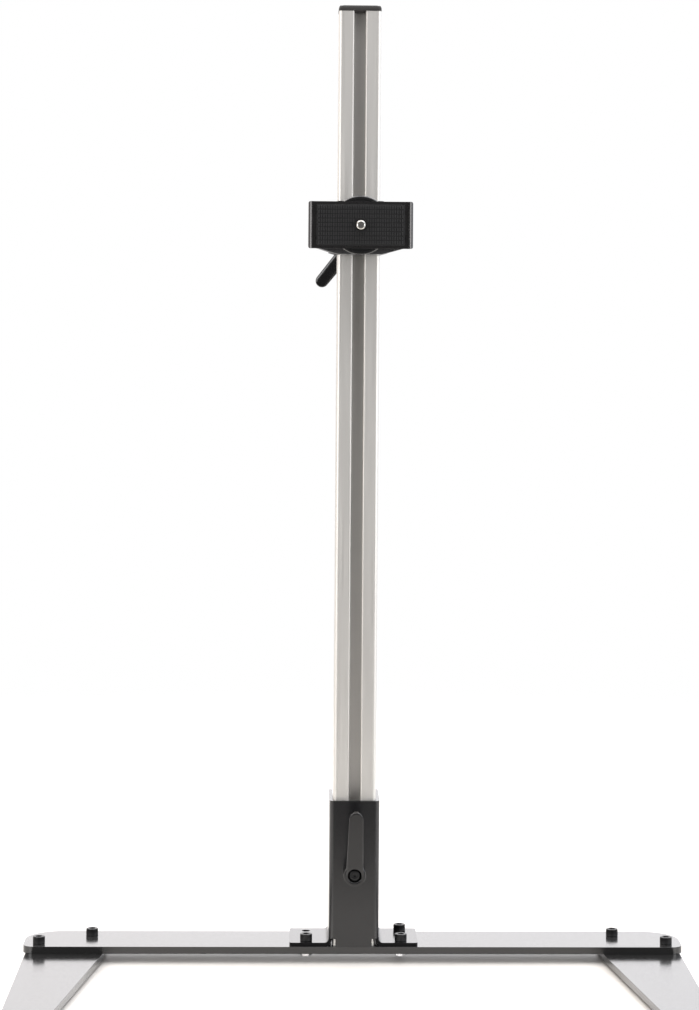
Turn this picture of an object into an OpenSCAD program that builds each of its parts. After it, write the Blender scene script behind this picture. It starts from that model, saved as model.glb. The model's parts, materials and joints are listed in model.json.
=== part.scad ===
// Camera copy stand: two flat legs under a flat crossbar, a folded bracket that holds a
// square column, and a carriage with a camera plate that slides on the column.
// Millimetres, +Z up, +Y to the back. The origin lies on the floor, in the middle of the
// stand's footprint, close to where the lens axis meets the work surface.

/* [Base] */
// Length of the crossbar from end to end
bar_len = 466; // [450:1:520]
// Depth of the crossbar from front to back
bar_depth = 50; // [50:1:70]
// Thickness of the crossbar
bar_t = 5; // [4:0.5:8]
// Radius of the crossbar's two front corners
bar_front_r = 8; // [3:0.5:12]
// Radius of the crossbar's two rear corners
bar_rear_r = 25; // [8:0.5:26]
// Distance from the origin back to the crossbar's front edge
bar_y = 105; // [95:1:125]
// Distance that the legs stand in from the crossbar's ends and rear edge
leg_inset = 2; // [0:0.5:3]
// Distance that the legs reach forward of the crossbar
leg_reach = 280; // [200:5:360]
// Width of a leg under the crossbar
leg_root_w = 54.5; // [50:0.5:70]
// Width of a leg at its round front end
leg_tip_w = 19; // [14:1:30]
// Thickness of a leg
leg_t = 5; // [4:0.5:8]
// Diameter of a rubber foot pad
pad_d = 12; // [8:0.5:13]
// Thickness of a rubber foot pad
pad_t = 2; // [1.5:0.5:4]
// Distance from a leg's edges to the centres of the two pads under the crossbar
pad_edge = 9; // [8:0.5:12]

/* [Base screws] */
// Diameter of the base screws
screw_d = 5; // [4:0.5:6]
// Diameter of their heads
screw_head_d = 8.5; // [8:0.25:10]
// Height of their heads
screw_head_h = 5; // [3:0.5:6]
// Width across the flats of their key sockets
screw_key = 4; // [3:0.5:5]
// Depth of their key sockets
screw_key_h = 2.5; // [1.5:0.25:2.75]
// Distance from the crossbar's end to the outer leg screw
outer_screw_x = 10.8; // [8:0.2:12]
// Distance from the crossbar's front edge to the outer leg screw
outer_screw_y = 11.5; // [9:0.5:14]
// Distance from the crossbar's end to the inner leg screw
inner_screw_x = 46.5; // [38:0.5:47]
// Distance from the crossbar's rear edge to the inner leg screw
inner_screw_y = 13; // [9:0.5:16]
// Width across the flats of the bracket's nuts
nut_af = 8; // [7.5:0.5:10]
// Thickness of the bracket's nuts
nut_t = 2.7; // [2:0.1:4]

/* [Bracket] */
// Thickness of the bracket's sheet
sheet_t = 2.5; // [1.5:0.25:3]
// Height of the bracket above the crossbar
bracket_h = 102.8; // [80:0.2:140]
// Depth of the bracket from front to back
bracket_depth = 48.5; // [44:0.5:49.5]
// Distance of the bracket's front wall behind the crossbar's front edge
bracket_set = 0.2; // [0:0.1:1]
// Width of a flange outside its side wall
flange_w = 27.6; // [24:0.2:34]
// Distance of a flange's front edge behind the front wall's face
flange_set = 2; // [1:0.5:4]
// Radius of a flange's corners
flange_corner_r = 2; // [0.5:0.5:4]
// Inner radius of the bend between a side wall and its flange
bend_r = 3; // [2:0.5:4]
// Inner radius of the bends beside the front wall
wall_bend_r = 1.5; // [0.5:0.25:2]
// Radius of the relief notch where three bends meet
relief_r = 2.5; // [2:0.25:3]
// Height of the relief notch above the crossbar
relief_h = 5.8; // [5.8:0.1:8]
// Diameter of the flange holes
flange_hole_d = 5.8; // [5.5:0.1:7]
// Distance from the side wall to the flange holes
flange_hole_x = 15.8; // [13:0.2:18]
// Distance from the bracket's front to the front flange holes
flange_hole_front = 9.1; // [8.5:0.1:12]
// Distance from the bracket's rear to the rear flange holes
flange_hole_rear = 8.5; // [7:0.5:12]
// Height of the clamp lever's axis above the crossbar
column_lever_h = 54.4; // [40:0.2:56]

/* [Column] */
// Width of the column, side to side and front to back
col_w = 30; // [28:0.5:32]
// Length of the column
col_len = 660.4; // [450:1:800]
// Radius of the column's corners
col_r = 2.3; // [2.1:0.1:3]
// Width of the slot's mouth
slot_w = 8.2; // [8:0.1:9]
// Width of the slot behind its lips
slot_in_w = 16.5; // [15:0.5:17]
// Thickness of the slot's lips
slot_lip = 2.5; // [2:0.1:3]
// Height of the upright walls behind the lips
slot_shelf = 1.8; // [1.5:0.1:2.2]
// Width of the slot's floor
slot_floor_w = 10; // [8:0.5:11]
// Depth of the slot
slot_depth = 9; // [8.6:0.1:9.4]
// Chamfer along the slot's mouth
slot_chamfer = 0.7; // [0.3:0.1:1]
// Diameter of the bore along the column's middle
core_d = 6.8; // [5:0.1:8]
// Thickness of the walls that close the column's other three sides
cover_t = 1.6; // [1.2:0.1:2]
// Height of the top cap
cap_h = 3.8; // [3:0.2:6]
// Distance that the cap's sides slope in
cap_slope = 2.2; // [1:0.1:3]
// Distance that the cap stands out past the column
cap_over = 0.2; // [0:0.1:0.5]
// Depth of the cap's tab in the slot
cap_tab_h = 3.5; // [2:0.5:10]
// Length of the cap's peg in the middle bore
cap_peg_h = 8; // [4:0.5:15]
// Length of the slot nut
slot_nut_len = 16; // [12:1:24]
// Thickness of the slot nut behind the lips
slot_nut_t = 3.8; // [3:0.1:4.2]

/* [Carriage] */
// Height of the camera screw's axis above the floor
camera_z = 519.4; // [200:1:600]
// Distance from the column's front face to the back of the camera plate
arm_len = 62; // [58:1:80]
// Full width of the carriage
body_w = 62; // [60:1:68]
// Width of its flat underside and top
body_flat_w = 30; // [26:1:34]
// Distance from the camera screw's axis down to its underside
body_below = 19.7; // [19:0.1:26]
// Distance from the camera screw's axis up to its top
body_above = 16.9; // [16:0.1:24]
// Height of its sloping lower and upper edges
body_slope = 4.2; // [2:0.2:5]
// Depth of the head behind the camera plate, before the arm narrows
head_depth = 24; // [20:1:30]
// Thickness of the sleeve's walls
sleeve_wall = 5; // [4.5:0.25:7]
// Gap between the column and the sleeve, which the glide strips fill
sleeve_gap = 1; // [0.8:0.1:1.5]
// Width of the side glide strips
glide_side_w = 18; // [12:1:22]
// Width of the front glide strips
glide_front_w = 7; // [5:0.5:8]
// Distance that the glide strips end short of the sleeve
glide_end = 2; // [1:0.5:4]
// Radius of the boss round the rear clamp lever's stud
boss_r = 9; // [8:0.5:10]
// Height of that boss
boss_h = 4; // [3:0.5:6]
// Distance of the rear clamp lever's axis below the camera screw's axis
carriage_lever_drop = 6.4; // [3:0.2:8]
// Radius of the clamp shoe
shoe_r = 7; // [5:0.5:8]
// Thickness of the clamp shoe
shoe_t = 3; // [2:0.1:3.4]

/* [Clamp levers] */
// Length of a lever from its axis to its tip
lever_len = 45; // [38:1:50]
// Height of a lever's highest point above the face that it clamps
lever_top = 27; // [25:0.1:30]
// Radius of a lever's hub
hub_r = 7.75; // [7.5:0.25:9]
// Height of the hub's top
hub_top = 21.4; // [21:0.1:24]
// Width of the front lever's arm at its hub
arm_root_w = 12; // [10:0.2:14]
// Width of the front lever's arm at its tip
arm_tip_w = 9.6; // [8:0.1:12]
// Width of the rear lever's arm at its hub
rear_arm_root_w = 11; // [9:0.2:13]
// Width of the rear lever's arm at its tip
rear_arm_tip_w = 9.5; // [7:0.1:11]
// Thickness of the arm at its hub
arm_root_t = 9; // [6:0.5:10]
// Thickness of the arm at its tip
arm_tip_t = 7; // [5:0.5:8]
// Angle of the front lever from upright, towards the right
column_lever_angle = 1; // [-60:1:60]
// Angle of the rear lever from straight down, towards the left
carriage_lever_angle = 38.7; // [0:0.1:80]
// Diameter of the levers' threaded studs
stud_d = 6; // [5:0.5:6.5]
// Radius of the stud's collar
collar_r = 6.5; // [6:0.25:7]
// Height of the stud's collar
collar_h = 3; // [2:0.25:3.5]
// Number of locking teeth
tooth_count = 18; // [12:1:24]
// Outer radius of the locking teeth
tooth_r = 5.4; // [5.2:0.1:5.6]
// Depth of the locking teeth
tooth_depth = 0.7; // [0.4:0.1:0.8]
// Height of the locking teeth
tooth_h = 3; // [2:0.1:3.2]
// Height of the stud's toothed end above the clamped face
stud_top = 10; // [9:0.1:10.4]
// Thickness of the handle's web under the spring
web_t = 2; // [1.5:0.1:2.5]
// Length of the spring in its place
spring_len = 6; // [5:0.1:6.4]
// Mean radius of the spring's coils
spring_r = 3.2; // [3.1:0.1:3.4]
// Diameter of the spring's wire
spring_wire = 0.6; // [0.4:0.1:0.7]
// Turns of the spring
spring_turns = 4; // [3:0.5:5]
// Radius of the hub's recess
recess_r = 4.7; // [4.4:0.1:5]
// Diameter of the retaining screw
retain_d = 4; // [3:0.5:4.5]
// Radius of the retaining screw's head
retain_head_r = 4.1; // [3.3:0.1:4.2]
// Height of the retaining screw's head
retain_head_h = 2.6; // [1.6:0.1:2.7]
// Width across the flats of its key socket
retain_key = 2.5; // [1.5:0.1:3]
// Depth of its key socket
retain_key_h = 1.2; // [0.8:0.1:1.4]

/* [Camera plate] */
// Width of the camera plate
plate_w = 71.7; // [68:0.5:84]
// Height of the camera plate
plate_h = 32.2; // [30:0.2:34]
// Thickness of the plate between its lips
plate_t = 3.5; // [3:0.25:5]
// Radius of the plate's corners
plate_r = 1.5; // [0.5:0.5:4]
// Width of a side lip
lip_w = 3.1; // [2:0.1:4]
// Height of a side lip
lip_h = 1.5; // [1:0.1:2.5]
// Width of the rubber
rubber_w = 60.5; // [56:0.5:61]
// Height of the rubber
rubber_h = 28; // [22:0.5:29]
// Thickness of the rubber
rubber_t = 1.8; // [1.2:0.1:3]
// Radius of the rubber's corners
rubber_r = 1; // [0.5:0.5:3]
// Radial gap between the camera screw and the rubber's middle hole
rubber_hole_gap = 0.8; // [0.4:0.1:2]
// Diameter of the camera screw, a quarter of an inch
camera_screw_d = 6.35; // [6.35, 9.525]
// Diameter of the camera screw's shank behind the rubber's face
camera_shank_d = 5.6; // [5:0.1:6]
// Length of camera screw in front of the rubber
camera_screw_out = 5; // [4:0.5:7]
// Chamfer at the camera screw's tip
camera_screw_chamfer = 0.7; // [0.3:0.1:1]
// Diameter of the thumbwheel
wheel_d = 40.4; // [36:0.2:42]
// Thickness of the thumbwheel
wheel_t = 8; // [6:0.5:12]
// Chamfer of the thumbwheel's rim
wheel_chamfer = 0.8; // [0.3:0.1:1.5]
// Distance between the thumbwheel's rim and the carriage's cheeks
wheel_side_gap = 3; // [2:0.5:4]
// Thickness of the plastic washer in front of the thumbwheel
washer_t = 0.8; // [0.5:0.1:1.5]
// Outer radius of the plastic washer
washer_r = 9; // [7:0.5:12]
// Diameter of the plate's screws
plate_screw_d = 4; // [3:0.5:4.5]
// Diameter of their countersunk heads
plate_screw_head_d = 7.6; // [7:0.1:8]
// Height of their countersunk heads
plate_screw_head_h = 2.2; // [1.6:0.1:2.6]
// Width across the flats of their key sockets
plate_key = 2.5; // [2:0.1:3]
// Depth of their key sockets
plate_key_h = 1.4; // [0.8:0.1:1.5]
// Length of plate screw inside the carriage
plate_screw_in = 9; // [6:0.5:12]
// Distance between the upper and the lower plate screws
plate_screw_gap = 18; // [12:1:20]

/* [Clearances] */
// Radial gap round a base screw in its crossbar hole
hole_gap = 0.25; // [0.1:0.05:0.4]
// Radial gap that stands for a thread's engagement
thread_gap = 0.05; // [0.02:0.01:0.08]
// Gap between the column and the bracket on each side
col_gap = 0.2; // [0.1:0.05:0.4]
// Gap under the column, above the crossbar
seat_gap = 0.1; // [0.05:0.05:0.3]
// Gap between sliding or pressing faces
run_gap = 0.1; // [0.05:0.05:0.2]
// Gap between parts that turn or pull past each other
turn_gap = 0.3; // [0.3:0.05:0.4]

/* [Hidden] */
$fn = 64;
HULL_FN = 32;
LAP = 1;
CUT = 1;

ALUMINIUM = "#d3d4d2";
BLACK_PAINT = "#2b2b2c";
BLACK_PLASTIC = "#242425";
STEEL = "#b9babc";
RUBBER = "#2a2a2c";
BLACK_SCREW = "#1d1d1e";

// Heights of the base
bar_z = pad_t + leg_t;
bar_top = bar_z + bar_t;

// Leg outline, right side
leg_x = bar_len / 2 - leg_inset;
leg_rear = bar_y + bar_depth - leg_inset;
tip_r = leg_tip_w / 2;
leg_corner_r = bar_rear_r - leg_inset;
tip_center = [leg_x - tip_r, bar_y - leg_reach + tip_r];
leg_root = [leg_x - leg_root_w, bar_y];
to_root = leg_root - tip_center;
tangent_angle = atan2(to_root.y, to_root.x) + acos(tip_r / norm(to_root));
tangent_way = [cos(tangent_angle), sin(tangent_angle)];
tip_end = tip_center.y - tip_r - CUT;
inner_end = leg_root.x + (leg_root.y - tip_end) * tangent_way.y / tangent_way.x;
leg_screw_points = [
    [bar_len / 2 - outer_screw_x, bar_y + outer_screw_y],
    [bar_len / 2 - inner_screw_x, bar_y + bar_depth - inner_screw_y]
];
pad_corner = max(pad_edge, leg_corner_r - (leg_corner_r - pad_edge) * sqrt(0.5));
pad_points = [
    tip_center,
    [leg_x - pad_corner, leg_rear - pad_corner],
    [leg_x - leg_root_w + pad_edge, bar_y + pad_edge]
];

// Bracket
bracket_front = bar_y + bracket_set;
bracket_rear = bracket_front + bracket_depth;
bracket_top = bar_top + bracket_h;
wall_in = col_w / 2 + col_gap;
wall_out = wall_in + sheet_t;
bend_x = wall_out + bend_r;
bend_z = bar_top + sheet_t + bend_r;
flange_points = [
    [-wall_out - flange_hole_x, bracket_front + flange_hole_front],
    [wall_out + flange_hole_x, bracket_front + flange_hole_front],
    [wall_out + flange_hole_x, bracket_rear - flange_hole_rear],
    [-wall_out - flange_hole_x, bracket_rear - flange_hole_rear]
];
// The last of the four holes holds no screw
bracket_screw_points = [for (i = [0:2]) flange_points[i]];
column_lever_z = bar_top + column_lever_h;

// Column
col_front = bracket_front + sheet_t + col_gap;
col_back = col_front + col_w;
col_mid = col_front + col_w / 2;
col_z = bar_top + seat_gap;
col_top = col_z + col_len;
slot_nut_y = col_front + slot_lip + run_gap;

// Carriage
body_bottom = camera_z - body_below;
body_top = camera_z + body_above;
sleeve_in = col_w / 2 + sleeve_gap;
sleeve_out = sleeve_in + sleeve_wall;
sleeve_front = col_front - sleeve_gap - sleeve_wall;
sleeve_rear = col_back + sleeve_gap + sleeve_wall;
plate_back = col_front - arm_len;
wheel_front = plate_back + washer_t + run_gap;
wheel_back = wheel_front + wheel_t;
pocket_back = wheel_back + turn_gap;
pocket_half = wheel_d / 2 + wheel_side_gap;
plate_front = plate_back - plate_t;
rubber_front = plate_front - rubber_t;
plate_screw_x = (pocket_half + body_w / 2) / 2;
carriage_lever_y = sleeve_rear + boss_h;
carriage_lever_z = camera_z - carriage_lever_drop;
shoe_back = col_back + run_gap + shoe_t;

// Clamp levers, measured up from the face that they clamp
hub_low = collar_h + turn_gap;
tooth_low = stud_top - tooth_h;
web_low = stud_top + turn_gap;
web_top = web_low + web_t;
head_low = web_top + spring_len;
column_stud_len = col_front + slot_lip + run_gap + slot_nut_t + LAP - bracket_front + run_gap;
carriage_stud_len = carriage_lever_y - shoe_back;
retain_gap = 0.5;
retain_depth = 8;
flange_t = 1.5;

// The waste outside a round corner of radius r, for a corner at [0, 0] of a shape in x, y > 0
module corner_waste(r) {
    difference() {
        translate([-CUT, -CUT]) square(r + CUT);
        translate([r, r]) circle(r);
    }
}

// A rectangle centred on x = 0 that starts at y = 0, with front and rear corner radii
module rounded_plan(w, d, front_r, rear_r) {
    difference() {
        translate([-w / 2, 0]) square([w, d]);
        for (side = [0, 1]) mirror([side, 0]) {
            translate([-w / 2, 0]) corner_waste(front_r);
            translate([-w / 2, d]) mirror([0, 1]) corner_waste(rear_r);
        }
    }
}

// Stands a flat outline up, so that its x, y become X, Z, and thickens it from y0 to y1
module upright(y0, y1) {
    translate([0, y1, 0]) rotate([90, 0, 0]) linear_extrude(y1 - y0) children();
}

// A cylinder along Y from y0 to y1
module bar_along_y(r, y0, y1) {
    translate([0, y1, 0]) rotate([90, 0, 0]) cylinder(r = r, h = y1 - y0);
}

// Places children at each point of a list, at height z
module at_points(points, z) {
    for (p = points) translate([p.x, p.y, z]) children();
}

// Both sides of the stand
module both_sides() {
    for (side = [0, 1]) mirror([side, 0, 0]) children();
}

// A socket cap screw whose head stands on z = 0, with a shank below
module cap_screw(shank) {
    difference() {
        cylinder(d = screw_head_d, h = screw_head_h);
        translate([0, 0, screw_head_h - screw_key_h])
            cylinder(d = screw_key / cos(30), h = screw_key_h + CUT, $fn = 6);
    }
    translate([0, 0, -shank]) cylinder(d = screw_d, h = shank + LAP);
}

module crossbar() {
    color(BLACK_PAINT) difference() {
        translate([0, bar_y, bar_z]) linear_extrude(bar_t)
            rounded_plan(bar_len, bar_depth, bar_front_r, bar_rear_r);
        both_sides() at_points(leg_screw_points, bar_z - CUT)
            cylinder(r = screw_d / 2 + hole_gap, h = bar_t + 2 * CUT);
        at_points(flange_points, bar_z - CUT)
            cylinder(r = screw_d / 2 + hole_gap, h = bar_t + 2 * CUT);
    }
}

// The waste in front of the leg's round end, between its two tangent radii
module tip_waste() {
    difference() {
        polygon([
            tip_center, [leg_x + CUT, tip_center.y], [leg_x + CUT, tip_end - CUT],
            [inner_end - tip_r, tip_end - CUT], tip_center + (tip_r + CUT) * tangent_way
        ]);
        translate(tip_center) circle(tip_r);
    }
}

// The right leg: a straight outer edge, a tapering inner edge and a round front end
module leg() {
    color(BLACK_PAINT) difference() {
        translate([0, 0, pad_t]) linear_extrude(leg_t) difference() {
            polygon([
                [leg_x, leg_rear], [leg_x, tip_end], [inner_end, tip_end],
                leg_root, [leg_root.x, leg_rear]
            ]);
            tip_waste();
            translate([leg_x, leg_rear]) mirror([1, 0]) mirror([0, 1])
                corner_waste(leg_corner_r);
        }
        at_points(leg_screw_points, pad_t - CUT)
            cylinder(r = screw_d / 2 + thread_gap, h = leg_t + 2 * CUT);
    }
}

module right_leg() { leg(); }

module left_leg() { mirror([1, 0, 0]) leg(); }

module leg_screws() {
    color(BLACK_SCREW) both_sides() at_points(leg_screw_points, bar_top)
        cap_screw(bar_t + leg_t);
}

module foot_pads() {
    color(RUBBER) both_sides() at_points(pad_points, 0) cylinder(d = pad_d, h = pad_t);
}

// One flange in section, its bend and a short lap up into the side wall
module flange_section() {
    translate([bend_x, bar_top]) square([flange_w - bend_r, sheet_t]);
    translate([bend_x, bend_z]) intersection() {
        difference() {
            circle(bend_r + sheet_t);
            circle(bend_r);
        }
        translate([-bend_r - sheet_t, -bend_r - sheet_t]) square(bend_r + sheet_t);
    }
    translate([wall_in, bend_z]) square([sheet_t, LAP]);
}

// The bracket in plan above its bends: a front wall and two side walls
module bracket_plan() {
    difference() {
        translate([0, bracket_front])
            rounded_plan(2 * wall_out, bracket_depth, wall_bend_r + sheet_t, 0);
        translate([0, bracket_front + sheet_t])
            rounded_plan(2 * wall_in, bracket_depth, wall_bend_r, 0);
    }
}

// The folded bracket, one sheet: flanges turned out at the foot and open at the back
module column_bracket() {
    color(BLACK_PAINT) difference() {
        union() {
            difference() {
                union() {
                    translate([0, 0, bend_z]) linear_extrude(bracket_top - bend_z) bracket_plan();
                    translate([relief_r - wall_in, bracket_front, bar_top])
                        cube([2 * (wall_in - relief_r), sheet_t, bend_z + LAP - bar_top]);
                }
                for (x = [-wall_in, wall_in]) translate([x, 0, bar_top + relief_h - relief_r])
                    bar_along_y(relief_r, bracket_front - CUT, bracket_front + sheet_t);
            }
            both_sides() intersection() {
                upright(bracket_front + flange_set, bracket_rear) flange_section();
                translate([0, bracket_front + flange_set, bar_top])
                    linear_extrude(bend_z + LAP - bar_top)
                    rounded_plan(2 * (wall_out + flange_w), bracket_depth - flange_set,
                                 flange_corner_r, flange_corner_r);
            }
        }
        at_points(flange_points, bar_top - CUT) cylinder(d = flange_hole_d, h = sheet_t + 2 * CUT);
        translate([0, 0, column_lever_z])
            bar_along_y(stud_d / 2 + turn_gap, bracket_front - CUT, bracket_front + sheet_t + CUT);
    }
}

module bracket_screws() {
    color(BLACK_SCREW) at_points(bracket_screw_points, bar_top + sheet_t)
        cap_screw(sheet_t + bar_t + nut_t);
}

module bracket_nuts() {
    color(STEEL) at_points(bracket_screw_points, bar_z - nut_t) difference() {
        cylinder(d = nut_af / cos(30), h = nut_t, $fn = 6);
        translate([0, 0, -CUT]) cylinder(r = screw_d / 2 + thread_gap, h = nut_t + 2 * CUT);
    }
}

// Half the slot's width at a depth behind the shelf
function slot_half(depth) = slot_in_w / 2
    - (slot_in_w - slot_floor_w) / 2
    * (depth - slot_lip - slot_shelf) / (slot_depth - slot_lip - slot_shelf);

// The open slot in plan, for a face on y = 0 with the metal at y > 0
module slot_plan() {
    mouth = slot_w / 2;
    inner = slot_in_w / 2;
    floor_half = slot_floor_w / 2;
    shelf = slot_lip + slot_shelf;
    polygon([
        [-mouth - slot_chamfer, -CUT], [-mouth - slot_chamfer, 0], [-mouth, slot_chamfer],
        [-mouth, slot_lip], [-inner, slot_lip], [-inner, shelf], [-floor_half, slot_depth],
        [floor_half, slot_depth], [inner, shelf], [inner, slot_lip], [mouth, slot_lip],
        [mouth, slot_chamfer], [mouth + slot_chamfer, 0], [mouth + slot_chamfer, -CUT]
    ]);
}

// The hollow behind a closed face, of the slot's own width
module closed_plan() {
    inner = slot_in_w / 2;
    floor_half = slot_floor_w / 2;
    shelf = slot_lip + slot_shelf;
    polygon([
        [-inner, cover_t], [-inner, shelf], [-floor_half, slot_depth],
        [floor_half, slot_depth], [inner, shelf], [inner, cover_t]
    ]);
}

module column() {
    color(ALUMINIUM) translate([0, col_mid, col_z]) linear_extrude(col_len) difference() {
        translate([0, -col_w / 2]) rounded_plan(col_w, col_w, col_r, col_r);
        translate([0, -col_w / 2]) slot_plan();
        for (turn = [90, 180, 270]) rotate(turn) translate([0, -col_w / 2]) closed_plan();
        circle(d = core_d);
    }
}

// The cap: sloping sides, a tab in the slot and a peg in the middle bore
module top_cap() {
    base = col_w / 2 + cap_over;
    crown = base - cap_slope;
    color("#4a4a4b") translate([0, col_mid, col_top]) {
        intersection() {
            translate([0, -base]) linear_extrude(cap_h) rounded_plan(2 * base, 2 * base, col_r, col_r);
            for (turn = [0, 90]) rotate(turn) upright(-col_w, col_w)
                polygon([
                    [-base, -CUT], [-base, 0], [-crown, cap_h],
                    [crown, cap_h], [base, 0], [base, -CUT]
                ]);
        }
        translate([-slot_w / 2 + turn_gap, slot_chamfer - col_w / 2, -cap_tab_h])
            cube([slot_w - 2 * turn_gap, slot_depth - slot_chamfer - turn_gap, cap_tab_h + LAP]);
        translate([0, 0, -cap_peg_h]) cylinder(r = core_d / 2 - run_gap, h = cap_peg_h + LAP);
    }
}

// The nut in the slot: a neck between the lips and a wider body behind them
module slot_nut() {
    neck = slot_w / 2 - col_gap;
    body = slot_in_w / 2 - turn_gap - run_gap;
    straight = slot_lip + slot_shelf - turn_gap;
    deep = slot_lip + run_gap + slot_nut_t;
    deep_half = min(body, slot_half(deep) - turn_gap - run_gap);
    color(STEEL) difference() {
        translate([0, col_front, column_lever_z - slot_nut_len / 2]) linear_extrude(slot_nut_len)
            polygon([
                [-neck, slot_chamfer], [-neck, slot_lip + run_gap], [-body, slot_lip + run_gap],
                [-body, straight], [-deep_half, deep], [deep_half, deep], [body, straight],
                [body, slot_lip + run_gap], [neck, slot_lip + run_gap], [neck, slot_chamfer]
            ]);
        translate([0, 0, column_lever_z])
            bar_along_y(stud_d / 2 + thread_gap, col_front - CUT, col_front + slot_depth);
    }
}

// A ring of teeth in plan
module teeth(outer, depth) {
    polygon([for (i = [0:2 * tooth_count - 1])
        let (r = outer - (i % 2) * depth, a = 180 * i / tooth_count) [r * cos(a), r * sin(a)]]);
}

// A lever's stud: toothed end, neck, collar on the clamped face, and thread below it
module lever_stud(stud_len) {
    color(STEEL) difference() {
        union() {
            translate([0, 0, tooth_low]) linear_extrude(tooth_h) teeth(tooth_r, tooth_depth);
            cylinder(r = tooth_r - tooth_depth, h = stud_top);
            cylinder(r = collar_r, h = collar_h);
            translate([0, 0, -stud_len]) cylinder(d = stud_d, h = stud_len + LAP);
        }
        translate([0, 0, stud_top - retain_depth])
            cylinder(r = retain_d / 2 + thread_gap, h = retain_depth + CUT);
    }
}

// A lever's handle, its arm along +y: toothed bore below, a web, and a recess above
module lever_handle(root_w, tip_w) {
    color(BLACK_PAINT) difference() {
        union() {
            translate([0, 0, hub_low]) cylinder(r = hub_r, h = hub_top - hub_low);
            hull() {
                translate([0, 0, hub_top - arm_root_t]) cylinder(d = root_w, h = arm_root_t, $fn = HULL_FN);
                translate([0, lever_len - tip_w / 2, lever_top - arm_tip_t])
                    cylinder(d = tip_w, h = arm_tip_t, $fn = HULL_FN);
            }
        }
        translate([0, 0, hub_low - CUT])
            cylinder(r = tooth_r + 2 * turn_gap, h = tooth_low + run_gap - hub_low + CUT);
        translate([0, 0, tooth_low]) linear_extrude(web_low - tooth_low)
            teeth(tooth_r + turn_gap, tooth_depth);
        cylinder(r = retain_d / 2 + retain_gap, h = lever_top);
        translate([0, 0, web_top]) cylinder(r = recess_r, h = lever_top);
    }
}

// The screw that keeps the handle and the spring on the stud
module lever_screw() {
    color(STEEL) difference() {
        union() {
            translate([0, 0, stud_top - retain_depth + CUT])
                cylinder(d = retain_d, h = head_low - stud_top + retain_depth);
            translate([0, 0, head_low]) cylinder(r = retain_head_r, h = retain_head_h);
        }
        translate([0, 0, head_low + retain_head_h - retain_key_h])
            cylinder(d = retain_key / cos(30), h = retain_key_h + CUT, $fn = 6);
    }
}

// A coil spring between the web and the retaining screw's head
module lever_spring() {
    sides = 6;
    steps = 16;
    wire_r = spring_wire / 2;
    low = web_top + wire_r + thread_gap;
    rise = spring_len - spring_wire - 2 * thread_gap;
    rings = round(spring_turns * steps);
    points = [for (i = [0:rings]) let (turn = 360 * i / steps, z = low + rise * i / rings)
        for (k = [0:sides - 1]) let (a = 360 * k / sides, r = spring_r + wire_r * cos(a))
            [r * cos(turn), r * sin(turn), z + wire_r * sin(a)]];
    walls = [for (i = [0:rings - 1], k = [0:sides - 1])
        let (a = i * sides + k, b = i * sides + (k + 1) % sides)
            [[a, b, b + sides], [a, b + sides, a + sides]]];
    first = [for (k = [1:sides - 2]) [0, k + 1, k]];
    last = [for (k = [1:sides - 2]) [rings * sides, rings * sides + k, rings * sides + k + 1]];
    color(STEEL) polyhedron(
        points = points,
        faces = concat([for (pair = walls) each pair], first, last)
    );
}

// The front lever's frame: z towards the front, y up
module at_column_lever() {
    translate([0, bracket_front - run_gap, column_lever_z]) rotate([90, 0, 0])
        rotate(-column_lever_angle) children();
}

// The rear lever's frame: z towards the back, y down
module at_carriage_lever() {
    translate([0, carriage_lever_y + run_gap, carriage_lever_z]) rotate([-90, 0, 0])
        rotate(carriage_lever_angle) children();
}

module column_lever_stud() { at_column_lever() lever_stud(column_stud_len); }

module column_lever_handle() { at_column_lever() lever_handle(arm_root_w, arm_tip_w); }

module column_lever_spring() { at_column_lever() lever_spring(); }

module column_lever_screw() { at_column_lever() lever_screw(); }

module carriage_lever_stud() { at_carriage_lever() lever_stud(carriage_stud_len); }

module carriage_lever_handle() { at_carriage_lever() lever_handle(rear_arm_root_w, rear_arm_tip_w); }

module carriage_lever_spring() { at_carriage_lever() lever_spring(); }

module carriage_lever_screw() { at_carriage_lever() lever_screw(); }

// The carriage seen from the front, with its sloping lower and upper edges
module body_front_outline() {
    half = body_w / 2;
    flat_half = body_flat_w / 2;
    polygon([
        [-flat_half, body_bottom], [-half, body_bottom + body_slope], [-half, body_top - body_slope],
        [-flat_half, body_top], [flat_half, body_top], [half, body_top - body_slope],
        [half, body_bottom + body_slope], [flat_half, body_bottom]
    ]);
}

// The carriage in plan: sleeve, narrowing arm, head, and two cheeks beside the thumbwheel
module body_plan() {
    half = body_w / 2;
    polygon([
        [-sleeve_out, sleeve_rear], [sleeve_out, sleeve_rear], [sleeve_out, sleeve_front],
        [half, plate_back + head_depth], [half, plate_back], [pocket_half, plate_back],
        [pocket_half, pocket_back], [-pocket_half, pocket_back], [-pocket_half, plate_back],
        [-half, plate_back], [-half, plate_back + head_depth], [-sleeve_out, sleeve_front]
    ]);
}

module carriage_body() {
    color(BLACK_PAINT) difference() {
        union() {
            intersection() {
                upright(plate_back - CUT, sleeve_rear + CUT) body_front_outline();
                translate([0, 0, body_bottom]) linear_extrude(body_top - body_bottom) body_plan();
            }
            translate([0, 0, carriage_lever_z])
                bar_along_y(boss_r, sleeve_rear - LAP, carriage_lever_y);
        }
        translate([-sleeve_in, col_front - sleeve_gap, body_bottom - CUT])
            cube([2 * sleeve_in, col_w + 2 * sleeve_gap, body_top - body_bottom + 2 * CUT]);
        translate([0, 0, carriage_lever_z]) {
            bar_along_y(stud_d / 2 + thread_gap, col_back, carriage_lever_y + CUT);
            bar_along_y(shoe_r + turn_gap, col_back, shoe_back + turn_gap);
        }
        at_plate_screws() bar_along_y(plate_screw_d / 2 + thread_gap, -CUT, plate_screw_in + CUT);
    }
}

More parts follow.
